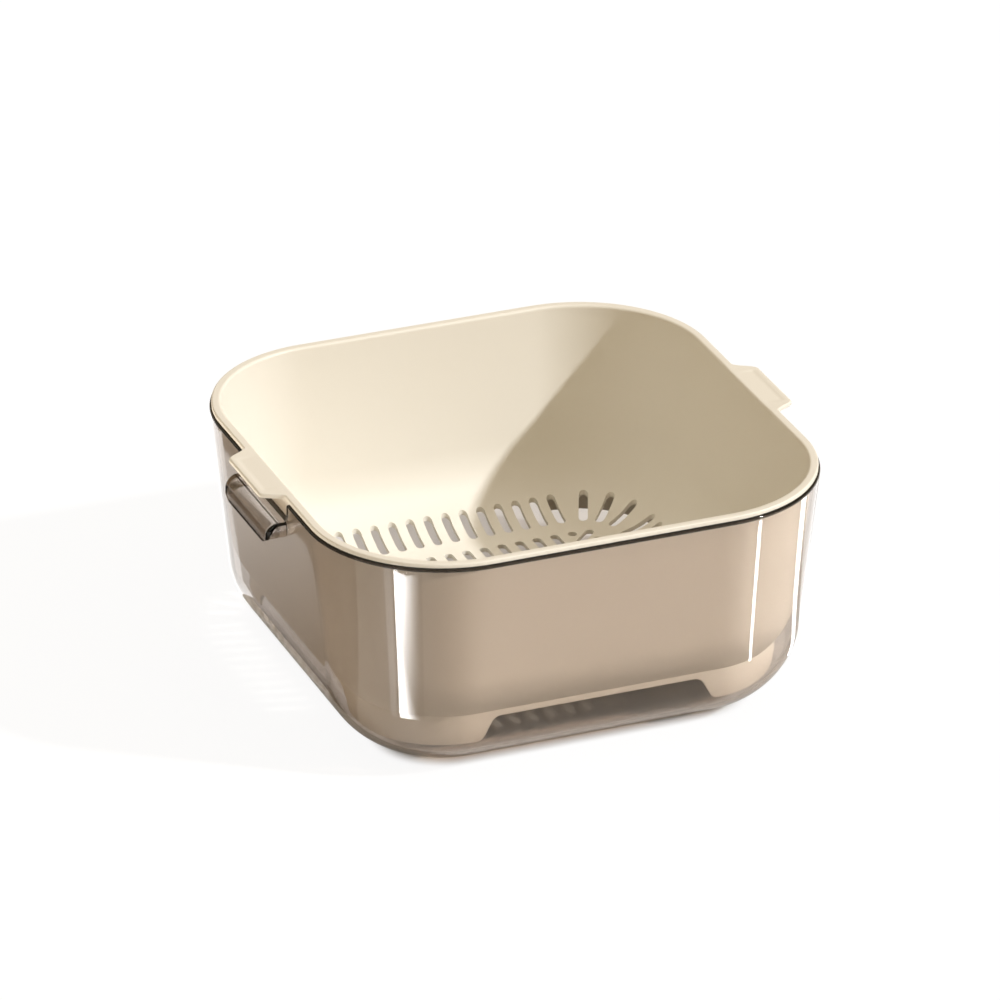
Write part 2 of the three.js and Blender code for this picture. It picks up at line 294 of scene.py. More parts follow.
def buildTub():
    piece = tubShell()
    middle = (tub["shelfZ"] + tub["hoodZ"]) / 2
    root = wallHalf(middle, tub["wall"] / 2)  # x inside the wall, where a hood starts
    hollowRoot = wallHalf(tub["hoodZ"], 0)
    for side in (1, -1):
        booleanWith(piece, rimCutter(side), "DIFFERENCE")
        hood = hoodSolid("hood", side, 0.0, root, tub["hoodZ"])
        hollow = hoodSolid("hollow", side, tub["hoodWall"], hollowRoot, tub["hoodZ"] - tub["hollowPast"])
        booleanWith(hood, hollow, "DIFFERENCE")
        booleanWith(piece, hood, "UNION")
    piece.name = "smokyTub"
    smoothShade(piece)
    return piece


# Cream basket, placed by how it sits in the tub
seat = {
    "wallGap": 1.0,  # between the two walls
    "rimGap": 0.3,  # between the two rims
    "rimInset": 0.9,  # edge of the basket's rim inside the tub's
    "drainSpace": 13.8,  # from the tub's floor up to the basket's feet
    "footDrop": 1.4,  # feet below the basket's floor
}
footZ = tub["wall"] + seat["drainSpace"]
basket = {
    "setback": tub["wall"] + seat["wallGap"],  # behind the tub's outer face
    "wall": 2.0,
    "floorZ": footZ + seat["footDrop"],
    "bend": 36.0,
    "bendSteps": 36,
    "rimHalf": plan["half"] - seat["rimInset"],
    "rimUnder": plan["rimZ"] + seat["rimGap"],
    "rimThick": 1.7,
    "rimRound": 0.75,
    "innerRound": 1.3,
    "innerNudge": 0.4,  # from the inner round to the first row below it
    "edgeDrop": 0.2,  # of the lip under the edge
    "lipRounds": (0.1, 0.7),  # of that lip, on the rim and on a tab
    "roundSteps": 5,
    "deckRows": 14,
    "sideStops": 45,
    "tabStops": 81,
    "tabStraight": 17.5,  # half of the tab's straight outer edge
    "tabSweep": 8.0,  # each end sweeps into the rim over this
    "tabReach": 9.4,
    "tabDip": 0.2,
    "tabThick": 2.0,
    "tabRound": 0.95,
    "hollow": 0.3,  # thumb hollow in the tab's top
    "border": 2.2,  # round the hollow
    "hollowRise": 1.8,  # from the hollow up to the border
}


def basketBowl():
    # Floor, round, leaning wall, then a rim whose edge and height follow one sweep value that is 1
    # along a tab and falls to 0 as a half cosine, and back down the inside. The tab's hollow falls by a
    # smooth step inside its border and climbs back as a straight slope to the rim.
    b = basket
    corner, tabEnd = plan["corner"], b["tabStraight"] + b["tabSweep"]
    stops = np.concatenate([np.linspace(-corner, corner, b["sideStops"]),
                            np.linspace(-tabEnd, tabEnd, b["tabStops"])])
    path = squarePath(np.unique(stops))
    base, normal = path
    onTabSide = np.isclose(np.abs(normal[:, 0]), 1)
    share = np.clip((np.abs(base[:, 1]) - b["tabStraight"]) / b["tabSweep"], 0, 1)
    sweep = np.where(onTabSide, (1 + np.cos(math.pi * share)) / 2, 0)[None]
    flat = 0 * sweep
    rimTop = b["rimUnder"] + b["rimThick"]
    top = rimTop - sweep * b["tabDip"]
    tabUnder = rimTop - b["tabDip"] - b["tabThick"]
    under = b["rimUnder"] + sweep * (tabUnder - b["rimUnder"])
    edge = b["rimHalf"] + sweep * b["tabReach"]
    lip = under - b["edgeDrop"]
    lipIn = edge - b["border"]
    lipRound = b["lipRounds"][0] + (b["lipRounds"][1] - b["lipRounds"][0]) * sweep
    topRound = b["rimRound"] + (b["tabRound"] - b["rimRound"]) * sweep
    innerRound = b["innerRound"]
    half, height = bendCentre(b["floorZ"], b["bend"], b["setback"])
    outH, outZ = arc(half, height, b["bend"], -math.pi / 2, -lean, b["bendSteps"])
    inH, inZ = arc(half, height, b["bend"] - b["wall"], -lean, -math.pi / 2, b["bendSteps"])
    quarter = np.linspace(0, math.pi / 2, b["roundSteps"] + 1)[:, None]
    sine, cosine = np.sin(quarter), np.cos(quarter)
    inner = wallHalf(top - innerRound, b["setback"] + b["wall"])
    below = top - innerRound - b["innerNudge"]
    outside, inside = edge - topRound, inner + innerRound
    across = np.linspace(0, 1, b["deckRows"] + 2)[1:-1, None]
    deck = outside + (inside - outside) * across
    fall = smoothStep((lipIn - deck) / b["hollowRise"])
    climb = np.clip((deck - inside) / (lipIn - b["hollowRise"] - inside), 0, 1)
    ends = smoothStep((b["tabStraight"] - np.abs(base[:, 1])) / b["border"]) * onTabSide
    dished = top - b["hollow"] * fall * climb * ends
    profileH = [outH[:, None] + flat, wallHalf(under, b["setback"]), lipIn + flat,
                lipIn + lipRound * (1 - cosine), edge - lipRound * (1 - sine),
                edge - topRound * (1 - cosine), deck, inner + innerRound * (1 - sine),
                wallHalf(below, b["setback"] + b["wall"]), inH[:, None] + flat]
    profileZ = [outZ[:, None] + flat, under, under,
                lip + lipRound * (1 - sine), lip + lipRound * (1 - cosine),
                top - topRound * (1 - sine), dished, top - innerRound * (1 - cosine), below,
                inZ[:, None] + flat]
    return shellObject("bowl", carry(np.concatenate(profileH), np.concatenate(profileZ), path))


feet = {
    "inset": 9.2,  # behind the basket's widest wall
    "wall": 1.8,
    "gapHeight": 10.2,  # of the gap between two feet
    "gapTop": 47.3,  # half gap at its top
    "gapFoot": 53.2,  # and at the feet
    "gapRounds": (5.0, 4.0),  # upper and lower corners
    "gapSteps": 12,
    "pathEnd": 120.0,  # the lower edge is drawn this far along a side
    "sideStops": 141,
    "round": 0.5,
    "sunk": 1.0,  # into the bend
}


def basketFeet():
    # A thin upright skirt under the bend. Its lower edge is at the foot round the corners, and along
    # the middle of each side it follows a gap with sloping ends and rounded corners.
    half, height = bendCentre(basket["floorZ"], basket["bend"], basket["setback"])
    outer = half + basket["bend"] - feet["inset"]
    inner = outer - feet["wall"]
    path = squarePath(np.linspace(-plan["corner"], plan["corner"], feet["sideStops"]))
    base, normal = path
    turn = np.arctan2(np.abs(normal[:, 1]), np.abs(normal[:, 0]))
    swing = np.minimum(turn, math.pi / 2 - turn) * (outer - plan["corner"])
    along = np.minimum(np.abs(base[:, 0]), np.abs(base[:, 1])) + swing
    gapZ, end, steps = footZ + feet["gapHeight"], feet["pathEnd"], feet["gapSteps"]
    corners = [(0, gapZ), (feet["gapTop"], gapZ), (feet["gapFoot"], footZ), (end, footZ), (end, 0), (0, 0)]
    radii = [plan["tiny"], *feet["gapRounds"], *[plan["tiny"]] * 3]
    edgeLine = roundedOutline(corners, radii, steps)[:4 * (steps + 1)]  # without the two corners below
    low = np.interp(along, edgeLine[:, 0], edgeLine[:, 1])[None]

    def under(h):  # underside of the bend at a half width
        return height - math.sqrt(basket["bend"] ** 2 - (h - half) ** 2)

    edge = feet["round"]
    widths = [inner, inner, inner + edge, outer - edge, outer, outer]
    lifts = [None, edge, 0.0, 0.0, edge, None]
    rows = [np.full_like(low, under(width) + feet["sunk"]) if lift is None else low + lift
            for width, lift in zip(widths, lifts)]
    return ringObject("feet", carry(np.array(widths)[:, None], np.concatenate(rows), path))


slots = {
    "width": 4.1,
    "length": 16.3,
    "pitch": 8.45,
    "inset": 15.1,  # outer ends inside the basket's widest wall
    "bridge": 8.9,  # floor between two rows
    "rows": 3,
    "fanRadius": 33.2,
    "fanCount": 3,
    "diagonal": 6.5,  # inner rows stop this far short of the diagonal
    "least": 1.01,  # shortest slot, in widths
    "endSteps": 10,
    "cutBelow": 2.0,  # the cutters start this far below the floor
    "cutTall": 24.0,
}


def slotPlaces():
    # Near and far ends of each slot's middle line, as x0, y0, x1, y1, for one quarter of the floor.
    half, _ = bendCentre(basket["floorZ"], basket["bend"], basket["setback"])
    outside = half + basket["bend"] - slots["inset"]
    fan = outside - slots["fanRadius"]
    radius = slots["width"] / 2
    places = []
    for row in range(slots["rows"]):
        outer = outside - row * (slots["length"] + slots["bridge"])
        inner = outer - slots["length"]
        perHalf = int(min(outer, fan) / slots["pitch"] + 0.5)
        y = (np.arange(-perHalf, perHalf) + 0.5) * slots["pitch"]
        start = np.full_like(y, inner) if row == 0 else np.maximum(inner, np.abs(y) + slots["diagonal"])
        start = np.minimum(start, outer - slots["width"] * slots["least"])
        kept = start > np.abs(y)
        line = np.stack([start + radius, y, np.full_like(y, outer - radius), y], axis=1)
        places.append(line[kept])
        if row == 0:
            turn = np.arange(1, slots["fanCount"] + 1) / (slots["fanCount"] + 1) * math.pi / 2
            near, far, centre = slots["fanRadius"] - slots["length"], slots["fanRadius"], fan
        else:
            turn = np.array([math.pi / 4])
            far, centre = outer * math.sqrt(2) - radius, 0.0
            near = far - slots["length"]
        ends = [centre + (near + radius) * np.cos(turn), centre + (near + radius) * np.sin(turn),
                centre + (far - radius) * np.cos(turn), centre + (far - radius) * np.sin(turn)]
        places.append(np.stack(ends, axis=1))
    return np.concatenate(places)


def slotCutters():
    # Each slot is a half circle round its far end and one round its near end, run straight down.
    quarter = slotPlaces()
    turns = [quarter]
    for _ in range(3):
        last = turns[-1]
        turns.append(np.stack([-last[:, 1], last[:, 0], -last[:, 3], last[:, 2]], axis=1))
    ends = np.concatenate(turns)
    heading = np.arctan2(ends[:, 3] - ends[:, 1], ends[:, 2] - ends[:, 0])[:, None]
    swing = np.linspace(-math.pi / 2, math.pi / 2, slots["endSteps"] + 1)[None]
    radius = slots["width"] / 2
    x = np.concatenate([ends[:, 2:3] + radius * np.cos(heading + swing),
                        ends[:, 0:1] - radius * np.cos(heading + swing)], axis=1)
    y = np.concatenate([ends[:, 3:4] + radius * np.sin(heading + swing),
                        ends[:, 1:2] - radius * np.sin(heading + swing)], axis=1)
    low = basket["floorZ"] - slots["cutBelow"]
    points, faces = prisms(np.stack([x, y], axis=2), (low, low + slots["cutTall"]))
    return makeObject("slots", points, faces)


def buildBasket():
    piece = basketBowl()
    booleanWith(piece, slotCutters(), "DIFFERENCE")
    booleanWith(piece, basketFeet(), "UNION")
    piece.name = "creamBasket"
    smoothShade(piece)
    return piece


# Materials
white = (1, 1, 1, 1)
finish = {
    "driftDetail": 2,
    "grainDetail": 3,
    "grainShare": 0.25,  # of the grain in the skin's height
    "creamLight": (0.83, 0.808, 0.745, 1),
    "creamDeep": (0.82, 0.792, 0.72, 1),
    "creamSkin": (14.0, 900.0),  # scales of the drift and of the grain
    "creamRough": (0.36, 0.46),
    "creamBump": (0.06, 0.0002),  # strength, and distance in metres
    "creamIor": 1.49,
    "smokeTint": (0.55, 0.425, 0.315, 1),  # colour that the smoky plastic lets through
    "smokeDensity": 215.0,
    "smokeEdgeShade": (0.012, 0.010, 0.009, 1),  # painted shade: near black, for the dark lines that refraction draws where the plastic is seen through its edge
    "smokeSkin": (18.0, 420.0),
    "smokeRough": (0.015, 0.05),
    "smokeBump": (0.05, 0.0004),
    "smokeIor": 1.5,
}

# Where the smoky plastic is painted dark, as painted shade for the dark lines that refraction draws at its
# edges, mostly as the start and the end of a step in millimetres.
edgeShade = {
    "rim": (1.9, 1.3),  # below the top of the rim
    "cutSide": (0.5, 1.0),  # out from the side of a cut-out
    "cutAbove": (0.0, 1.0),  # over the shelf
    "cutFrom": (104.0, 105.0),  # x
    "hoodSkin": (1.1, 0.6),  # inside the shoulder's surface
    "hoodEnd": (0.9, 0.6),  # inside the ends of the hood
    "hoodFoot": (0.4, 0.9),  # above its lower edge
    "hoodFrom": (115.5, 116.5),  # x
    "bendAt": 0.3,  # out from the end of the shelf
    "bendWide": (0.35, 0.6),  # to either side of that
    "bendBelow": (0.6, 0.3),  # below the shelf
    "bodyFrom": (116.2, 117.2),  # x
    # painted shade over the rest of a hood, which dulls its reflection
    "hoodShadeShare": 0.3,
}


def newMaterial(name):
    material = bpy.data.materials.new(name)
    material.use_nodes = True
    tree = material.node_tree
    shader = tree.nodes["Principled BSDF"]
    output = tree.nodes["Material Output"]
    return material, tree, shader, output


def mouldSkin():
    # Group: slow drift of tone, fine grain for roughness, and height of a moulded skin.
    tree = bpy.data.node_groups.new("mouldSkin", "ShaderNodeTree")
    for name in ("Drift Scale", "Grain Scale"):
        tree.interface.new_socket(name, in_out="INPUT", socket_type="NodeSocketFloat")
    for name in ("Drift", "Grain", "Height"):
        tree.interface.new_socket(name, in_out="OUTPUT", socket_type="NodeSocketFloat")
    entry = tree.nodes.new("NodeGroupInput")
    leave = tree.nodes.new("NodeGroupOutput")
    place = tree.nodes.new("ShaderNodeTexCoord")
    drift = tree.nodes.new("ShaderNodeTexNoise")
    drift.inputs["Detail"].default_value = finish["driftDetail"]
    grain = tree.nodes.new("ShaderNodeTexNoise")
    grain.inputs["Detail"].default_value = finish["grainDetail"]
    blend = tree.nodes.new("ShaderNodeMath")
    blend.operation = "MULTIPLY_ADD"
    blend.inputs[1].default_value = finish["grainShare"]
    link = tree.links.new
    link(place.outputs["Object"], drift.inputs["Vector"])
    link(place.outputs["Object"], grain.inputs["Vector"])
    link(entry.outputs["Drift Scale"], drift.inputs["Scale"])
    link(entry.outputs["Grain Scale"], grain.inputs["Scale"])
    link(grain.outputs["Fac"], blend.inputs[0])
    link(drift.outputs["Fac"], blend.inputs[2])
    link(drift.outputs["Fac"], leave.inputs["Drift"])
    link(grain.outputs["Fac"], leave.inputs["Grain"])
    link(blend.outputs[0], leave.inputs["Height"])
    return tree


def spread(tree, source, low, high):  # maps a value of 0 to 1 onto a range
    node = tree.nodes.new("ShaderNodeMapRange")
    node.inputs["To Min"].default_value = low
    node.inputs["To Max"].default_value = high
    tree.links.new(source, node.inputs["Value"])
    return node.outputs["Result"]


def wearSkin(tree, shader, group, scales, rough, bumps):
    # Puts the skin on a shader: its grain as roughness, its height as a bump. Returns its drift.
    skin = tree.nodes.new("ShaderNodeGroup")
    skin.node_tree = group
    skin.inputs["Drift Scale"].default_value, skin.inputs["Grain Scale"].default_value = scales
    tree.links.new(spread(tree, skin.outputs["Grain"], *rough), shader.inputs["Roughness"])
    bump = tree.nodes.new("ShaderNodeBump")
    bump.inputs["Strength"].default_value, bump.inputs["Distance"].default_value = bumps
    tree.links.new(skin.outputs["Height"], bump.inputs["Height"])
    tree.links.new(bump.outputs["Normal"], shader.inputs["Normal"])
    return skin.outputs["Drift"]


def mixColour(tree, factor, first, second):  # the first colour at 0, the second at 1
    node = tree.nodes.new("ShaderNodeMix")
    node.data_type = "RGBA"
    node.inputs["A"].default_value = first
    node.inputs["B"].default_value = second
    tree.links.new(factor, node.inputs["Factor"])
    return node.outputs["Result"]


def mathNode(tree, operation, first, second=0.0):
    node = tree.nodes.new("ShaderNodeMath")
    node.operation = operation
    for socket, value in zip(node.inputs, (first, second)):
        if isinstance(value, (int, float)):
            socket.default_value = value
        else:
            tree.links.new(value, socket)
    return node.outputs[0]


def ramp(tree, source, low, high):  # smooth step from 0 at low to 1 at high, in millimetres
    node = tree.nodes.new("ShaderNodeMapRange")
    node.interpolation_type = "SMOOTHSTEP"
    node.inputs["From Min"].default_value = low * mm
    node.inputs["From Max"].default_value = high * mm
    tree.links.new(source, node.inputs["Value"])
    return node.outputs["Result"]


def distance(tree, first, second):  # root of the sum of two squares, a value below 0 counting as 0
    squares = []
    for value in (first, second):
        value = mathNode(tree, "MAXIMUM", value, 0.0)
        squares.append(mathNode(tree, "MULTIPLY", value, value))
    return mathNode(tree, "SQRT", mathNode(tree, "ADD", *squares))


def axes(tree, absolute):  # x, y and z of the Object coordinates
    place = tree.nodes.new("ShaderNodeTexCoord").outputs["Object"]
    if absolute:
        node = tree.nodes.new("ShaderNodeVectorMath")
        node.operation = "ABSOLUTE"
        tree.links.new(place, node.inputs[0])
        place = node.outputs["Vector"]
    node = tree.nodes.new("ShaderNodeSeparateXYZ")
    tree.links.new(place, node.inputs[0])
    return node.outputs


def paintedEdgeShade(tree):
    # Painted shade: 1 where the smoky wall is painted dark, for the dark lines that refraction draws where
    # it is
    # seen through its edge: the rim, the sides of the cut-outs, the lower edge of the hoods, the outline
    # of their ends and the bend of the shelf, as steps of distance. The rest of a hood, with the wall
    # behind it, has a share of painted shade, which dulls its reflection.
    x, y, z = axes(tree, True)
    shelfZ, shelfEnd = tub["shelfZ"], tub["shelfEnd"]

    def past(value, place, name):  # step that starts and ends beyond a place
        return ramp(tree, value, *(place + offset for offset in edgeShade[name]))

    def short(value, place, name):  # step that starts and ends before it
        return ramp(tree, value, *(place - offset for offset in edgeShade[name]))

    def reverse(step):
        return mathNode(tree, "SUBTRACT", 1.0, step)

    def both(first, second):
        return mathNode(tree, "MULTIPLY", first, second)

    def either(first, second):
        return mathNode(tree, "MAXIMUM", first, second)

    rim = short(z, plan["rimZ"], "rim")
    slope = tub["cutFlare"] / (plan["rimZ"] - shelfZ)
    cut = mathNode(tree, "SUBTRACT", y, mathNode(tree, "MULTIPLY", z, slope))
    sides = reverse(past(cut, tub["cutHalf"] - slope * shelfZ, "cutSide"))
    sides = both(both(sides, past(z, shelfZ, "cutAbove")), ramp(tree, x, *edgeShade["cutFrom"]))
    drop = tub["hoodFace"] - shelfEnd
    outward = mathNode(tree, "SUBTRACT", x, shelfEnd * mm)
    upward = mathNode(tree, "SUBTRACT", z, (shelfZ - drop) * mm)
    outline = short(distance(tree, outward, upward), drop, "hoodSkin")
    ends = both(outline, short(y, tub["cutHalf"], "hoodEnd"))
    lower = reverse(past(z, tub["hoodZ"], "hoodFoot"))
    hood = both(either(ends, lower), ramp(tree, x, *edgeShade["hoodFrom"]))
    bend = mathNode(tree, "SUBTRACT", x, (shelfEnd + edgeShade["bendAt"]) * mm)
    bend = reverse(ramp(tree, mathNode(tree, "ABSOLUTE", bend), *edgeShade["bendWide"]))
    bend = both(bend, short(z, shelfZ, "bendBelow"))
    # painted shade: a share of the dark edge colour over the whole hood, against its reflection
    body = both(ramp(tree, x, *edgeShade["bodyFrom"]), edgeShade["hoodShadeShare"])
    return either(either(rim, sides), either(either(hood, bend), body))


def creamMaterial(group):
    material, tree, shader, _ = newMaterial("creamSatin")
    drift = wearSkin(tree, shader, group, finish["creamSkin"], finish["creamRough"], finish["creamBump"])
    tone = mixColour(tree, drift, finish["creamDeep"], finish["creamLight"])
    tree.links.new(tone, shader.inputs["Base Color"])
    shader.inputs["IOR"].default_value = finish["creamIor"]
    return material


def smokyMaterial(group):
    # Clear plastic that absorbs by depth, painted dark where it is seen through its edge, as painted shade
    # for the lines of refraction. Shadow rays pass straight through, so that the light reaches what stands
    # inside.
    material, tree, shader, output = newMaterial("smokyClear")
    link = tree.links.new
    wearSkin(tree, shader, group, finish["smokeSkin"], finish["smokeRough"], finish["smokeBump"])
    # painted shade: the base colour goes near black along the edges that the mask picks out
    link(mixColour(tree, paintedEdgeShade(tree), white, finish["smokeEdgeShade"]), shader.inputs["Base Color"])
    shader.inputs["Transmission Weight"].default_value = 1.0
    shader.inputs["IOR"].default_value = finish["smokeIor"]
    depth = tree.nodes.new("ShaderNodeVolumeAbsorption")
    depth.inputs["Color"].default_value = finish["smokeTint"]
    depth.inputs["Density"].default_value = finish["smokeDensity"]
    link(depth.outputs["Volume"], output.inputs["Volume"])
    rays = tree.nodes.new("ShaderNodeLightPath")
    clear = tree.nodes.new("ShaderNodeBsdfTransparent")
    mix = tree.nodes.new("ShaderNodeMixShader")
    link(rays.outputs["Is Shadow Ray"], mix.inputs["Fac"])
    link(shader.outputs["BSDF"], mix.inputs[1])
    link(clear.outputs["BSDF"], mix.inputs[2])
    link(mix.outputs["Shader"], output.inputs["Surface"])
    return material


# Pieces
tubPiece = buildTub()
print("tub", len(tubPiece.data.polygons), "faces")
basketPiece = buildBasket()
print("basket", len(basketPiece.data.polygons), "faces")

skinGroup = mouldSkin()
tubPiece.data.materials.clear()
tubPiece.data.materials.append(smokyMaterial(skinGroup))
basketPiece.data.materials.clear()
basketPiece.data.materials.append(creamMaterial(skinGroup))
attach(tubPiece, "tub")
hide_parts("outer_tub")
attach(basketPiece, "basket")
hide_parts("drain_basket")
print("materials assigned")

# Camera and studio
view = {
    "azimuth": -22.12,
    "elevation": 26.19,
    "roll": 0.18,
    "distance": 3555.17,
    "target": (14.44, 49.57, 50.0),
    "focalPixels": 8089.29,
    "widePixels": 1000,  # of the frame that the focal length is measured in
    "sensor": 36.0,
    "clipEnd": 100000.0,
}


def cameraPlace():  # place of the camera, and the way back to it from what it looks at
    azimuth, elevation = math.radians(view["azimuth"]), math.radians(view["elevation"])
    back = np.array([math.sin(azimuth) * math.cos(elevation),
                     -math.cos(azimuth) * math.cos(elevation), math.sin(elevation)])
    return np.array(view["target"]) + back * view["distance"], back


def addCamera():
    place, back = cameraPlace()
    right = np.cross(-back, [0, 0, 1])
    right /= np.linalg.norm(right)
    up = np.cross(right, -back)
    roll = math.radians(view["roll"])
    turnedRight = math.cos(roll) * right + math.sin(roll) * up
    turnedUp = math.cos(roll) * up - math.sin(roll) * right
    data = bpy.data.cameras.new("camera")
    data.sensor_width = view["sensor"]
    data.lens = view["focalPixels"] / view["widePixels"] * data.sensor_width
    data.clip_end = view["clipEnd"] * mm
    camera = linkObject("camera", data)
    matrix = np.eye(4)
    matrix[:3] = np.stack([turnedRight, turnedUp, back, place * mm], axis=1)
    camera.matrix_world = Matrix(matrix.tolist())
    bpy.context.scene.camera = camera


light = {
    "keyToward": (1.102, -0.875, 1.0),  # from the object to the key light
    "keyStrength": 2.76,
    "keyAngle": 2.4,  # degrees across, which sets the shadow's softness
    "fillStrength": 0.35,
    "fillColour": (1, 0.73, 0.38, 1),
    "topStrength": 0.5,  # added straight overhead
    "topFrom": (600.0, 900.0),  # rise over which it comes in, in thousandths of straight up
    "floorHalf": 30000.0,
    "floorZ": -0.4,
    "floorRough": 0.9,
    "floorColour": (0.77, 0.77, 0.76, 1),
    "floorSeen": (0.1, 0.1, 0.1, 1),  # with the glow, where the floor is seen as backdrop
    "floorGlow": 0.925,
    "floorClear": (22.0, 33.0),  # out from the corner centres, where the backdrop begins
    "floorBehind": 60.0,  # it begins this much further back behind the object
    "floorLean": 0.4,  # sideways share of the way that the camera looks
    "paintedLightShare": 0.5,  # painted light: least share of the glow towards the back, also where the object hides and shades it
    "paintedLightFrom": (50.0, 108.0),  # y over which that painted light comes in
    "mirrorShare": 0.15,  # of the backdrop's white, in a first reflection
    "cardStep": 0.05,  # each card lies this much higher than the one before
    "bouncePlace": (-240.0, 75.0, 1.0),
    "bounceSize": (220.0, 230.0),
    "bouncePower": 0.66,
    "bounceColour": (1, 0.88, 0.74),
}

# Highlights in the tub's corners, which the wall mirrors from cards on the floor. Each has the turns of
# the wall at its top and at its foot in degrees, its two heights, its strength, and how far across it
# the fade begins.
highlights = [
    ((229.0, 240.7), (228.8, 240.5), (106.0, 28.0), 25.0, 0.35),  # broad, at the left corner
    ((224.8, 228.1), (224.6, 227.9), (107.0, 28.0), 2.0, 0.95),  # faint, beside it
    ((280.7, 282.3), (281.8, 283.4), (105.0, 35.0), 24.0, 0.95),  # fine, at the right corner
    ((305.6, 310.3), (324.0, 331.1), (117.5, 17.0), 5.0, 0.95),  # along the right edge
    ((311.4, 327.4), (331.4, 342.0), (111.0, 29.0), 1.7, 0.95),  # the edge itself
]

# Cards beside the left wall, by their corners on the floor, strength and fade. The second one is dark.
sideCards = [
    ((-160.0, 330.0), (-112.0, 330.0), (-112.0, -60.0), (-160.0, -60.0), 0.95, 0.4),
    ((-700.0, 700.0), (-156.0, 700.0), (-156.0, -60.0), (-700.0, -60.0), 0.1, 0.95),
    ((-160.0, 235.0), (-116.0, 84.0), (-40.0, 118.0), (-40.0, 330.0), 1.7, 0.95),
]


def addKey():
    data = bpy.data.lights.new("key", "SUN")
    data.energy = light["keyStrength"]
    data.angle = math.radians(light["keyAngle"])
    lamp = linkObject("key", data)
    x, y, z = light["keyToward"]
    lamp.rotation_euler = (math.atan2(math.hypot(x, y), z), 0, math.atan2(y, x) + math.pi / 2)


def addBounce():  # a low sheet of light beside the object, which lifts the side away from the key
    data = bpy.data.lights.new("bounce", "AREA")
    data.shape = "RECTANGLE"
    data.size, data.size_y = (side * mm for side in light["bounceSize"])
    data.energy = light["bouncePower"]
    data.color = light["bounceColour"]
    lamp = linkObject("bounce", data)
    lamp.location = [value * mm for value in light["bouncePlace"]]
    lamp.rotation_euler = (math.pi, 0, 0)
    lamp.visible_glossy = False
    lamp.visible_transmission = False


def seenRays(tree):
    # 1 for rays from the camera, straight or through clear plastic, a share for a first reflection, and
    # 0 for other rays, which meet the studio's true light and shadow.
    rays = tree.nodes.new("ShaderNodeLightPath").outputs

    def within(value, name, bounces):  # kept for rays with at most so many bounces of a kind
        return mathNode(tree, "MULTIPLY", value, mathNode(tree, "LESS_THAN", rays[name], bounces + 0.5))

    straight = mathNode(tree, "MAXIMUM", rays["Is Camera Ray"], rays["Is Transmission Ray"])
    mirrored = mathNode(tree, "MULTIPLY", rays["Is Glossy Ray"], light["mirrorShare"])
    straight, mirrored = within(straight, "Glossy Depth", 0), within(mirrored, "Glossy Depth", 1)
    return within(mathNode(tree, "MAXIMUM", straight, mirrored), "Diffuse Depth", 0)


def footprint(tree, low, high):
    # 0 under the object and just behind it, and 1 clear of it: distance from the square of corner
    # centres, which is drawn out to the back along the camera's way and smoothed.
    x, y, _ = axes(tree, False)
    corner, half = plan["corner"] * mm, light["floorBehind"] / 2 * mm
    shift = mathNode(tree, "MULTIPLY", mathNode(tree, "MAXIMUM", y, 0.0), light["floorLean"])
    wide = mathNode(tree, "ABSOLUTE", mathNode(tree, "SUBTRACT", x, shift))
    wide = mathNode(tree, "SUBTRACT", wide, corner)
    deep = mathNode(tree, "ABSOLUTE", mathNode(tree, "SUBTRACT", y, half))
    deep = mathNode(tree, "SUBTRACT", deep, corner + half)
    return ramp(tree, distance(tree, wide, deep), low, high)


def addFloor():
    half, low = light["floorHalf"], light["floorZ"]
    points = np.array([(-half, -half, low), (half, -half, low), (half, half, low), (-half, half, low)])
    floor = makeObject("floor", points, [(0, 1, 2, 3)])
    material, tree, shader, _ = newMaterial("paleFloor")
    back = axes(tree, False)["Y"]
    # painted light: the floor behind glows for seen rays although the object shades it there
    paintedBehind = mathNode(tree, "MULTIPLY", ramp(tree, back, *light["paintedLightFrom"]), light["paintedLightShare"])
    clear = mathNode(tree, "MAXIMUM", footprint(tree, *light["floorClear"]), paintedBehind)
    seen = mathNode(tree, "MULTIPLY", seenRays(tree), clear)
    tone = mixColour(tree, seen, light["floorColour"], light["floorSeen"])
    tree.links.new(tone, shader.inputs["Base Color"])
    shader.inputs["Roughness"].default_value = light["floorRough"]
    shader.inputs["Specular IOR Level"].default_value = 0.0
    shader.inputs["Emission Color"].default_value = white
    glow = spread(tree, seen, 0.0, light["floorGlow"])
    tree.links.new(glow, shader.inputs["Emission Strength"])
    floor.data.materials.append(material)


def mirrorPoint(degrees, z):
    # Floor point that the camera sees in the tub's outer wall: the line of sight less twice its share
    # along the wall's normal, run on from the wall down to the floor.
    turn = math.radians(degrees)
    out = np.array([math.cos(turn), math.sin(turn)])
    place = plan["corner"] * np.sign(out) + (wallHalf(z, 0) - plan["corner"]) * out
    place = np.append(place, z)
    normal = np.append(out * math.cos(lean), -math.sin(lean))
    sight = place - cameraPlace()[0]
    sight -= 2 * (sight @ normal) * normal
    return (place - sight * z / sight[2])[:2]


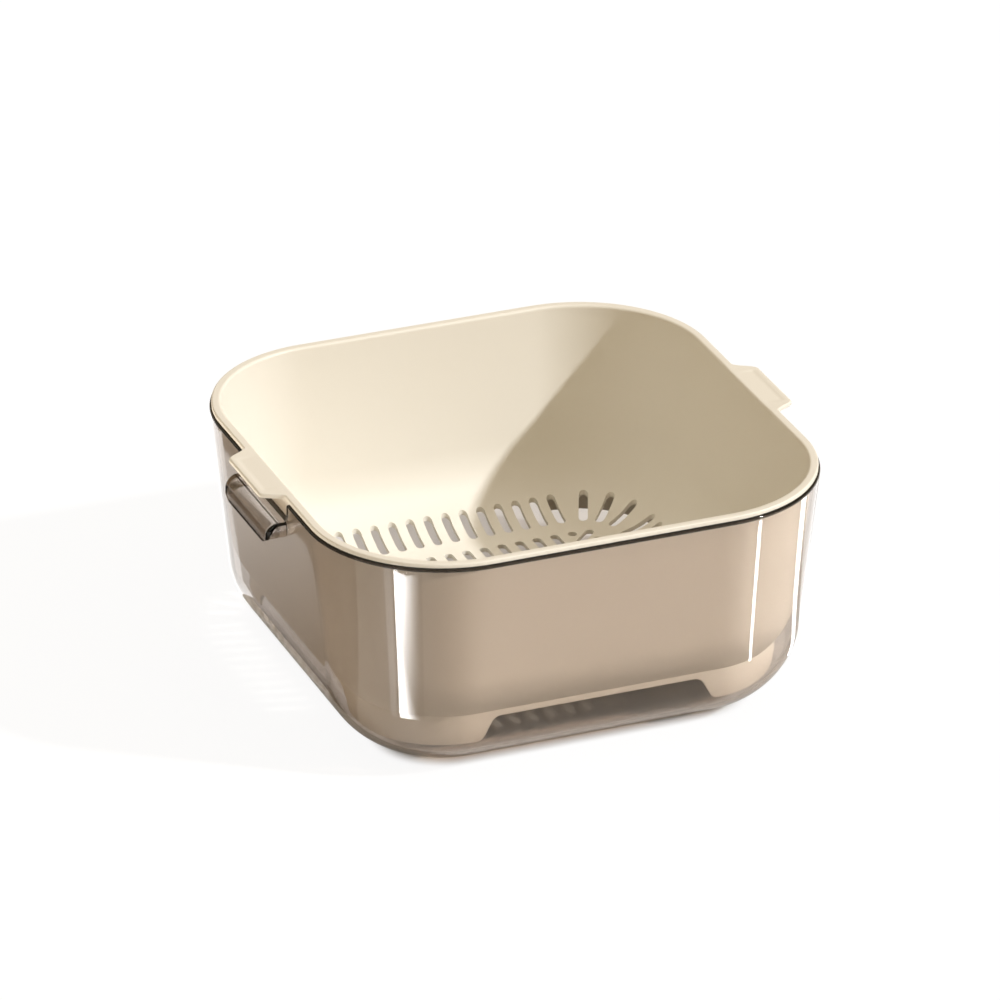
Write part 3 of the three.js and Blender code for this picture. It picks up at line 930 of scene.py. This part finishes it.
def addCards():
    # Cards that only mirrors see, as one mesh with three values at each point. Across a card its
    # strength holds up to the fade, then falls to 0 as the square of what is left.
    cards = [(mirrorPoint(top[0], high), mirrorPoint(foot[0], low), mirrorPoint(foot[1], low),
              mirrorPoint(top[1], high), glow, fade) for top, foot, (high, low), glow, fade in highlights]
    cards += sideCards
    corners = np.array([card[:4] for card in cards])
    lift = np.repeat(np.arange(len(cards)) * light["cardStep"], 4)[:, None]
    points = np.concatenate([corners.reshape(-1, 2), lift], axis=1)
    piece = makeObject("cards", points, np.arange(len(points)).reshape(-1, 4).tolist())
    material, tree, _, output = newMaterial("whiteCard")
    values = {
        "across": np.tile([0.0, 0.0, 1.0, 1.0], len(cards)),
        "glow": np.repeat([card[4] for card in cards], 4),
        "fade": np.repeat([card[5] for card in cards], 4),
    }
    read = {}
    for name, each in values.items():
        piece.data.attributes.new(name, "FLOAT", "POINT").data.foreach_set("value", each)
        node = tree.nodes.new("ShaderNodeAttribute")
        node.attribute_name = name
        read[name] = node.outputs["Fac"]
    past = mathNode(tree, "MAXIMUM", mathNode(tree, "SUBTRACT", read["across"], read["fade"]), 0.0)
    past = mathNode(tree, "DIVIDE", past, mathNode(tree, "SUBTRACT", 1.0, read["fade"]))
    left = mathNode(tree, "SUBTRACT", 1.0, past)
    strength = mathNode(tree, "MULTIPLY", read["glow"], mathNode(tree, "MULTIPLY", left, left))
    lamp = tree.nodes.new("ShaderNodeEmission")
    tree.links.new(strength, lamp.inputs["Strength"])
    tree.links.new(lamp.outputs["Emission"], output.inputs["Surface"])
    piece.data.materials.append(material)
    piece.visible_camera = False
    piece.visible_diffuse = False
    piece.visible_transmission = False
    piece.visible_shadow = False


def addWorld():  # white where it is seen, and else a warm fill with more light from overhead
    world = bpy.data.worlds.new("studio")
    bpy.context.scene.world = world
    world.use_nodes = True
    tree = world.node_tree
    background = tree.nodes["Background"]
    seen = seenRays(tree)
    tree.links.new(mixColour(tree, seen, light["fillColour"], white), background.inputs["Color"])
    tree.links.new(spread(tree, seen, light["fillStrength"], 1.0), background.inputs["Strength"])
    way = tree.nodes.new("ShaderNodeSeparateXYZ")
    tree.links.new(tree.nodes.new("ShaderNodeTexCoord").outputs["Generated"], way.inputs[0])
    above = ramp(tree, way.outputs["Z"], *light["topFrom"])
    above = mathNode(tree, "MULTIPLY", above, spread(tree, seen, light["topStrength"], 0.0))
    top = tree.nodes.new("ShaderNodeBackground")
    top.inputs["Color"].default_value = white
    tree.links.new(above, top.inputs["Strength"])
    both = tree.nodes.new("ShaderNodeAddShader")
    tree.links.new(background.outputs[0], both.inputs[0])
    tree.links.new(top.outputs[0], both.inputs[1])
    tree.links.new(both.outputs[0], tree.nodes["World Output"].inputs["Surface"])


addCamera()
addKey()
addBounce()
addFloor()
addCards()
addWorld()
bpy.context.scene.view_settings.view_transform = "Standard"
print("camera and studio ready")
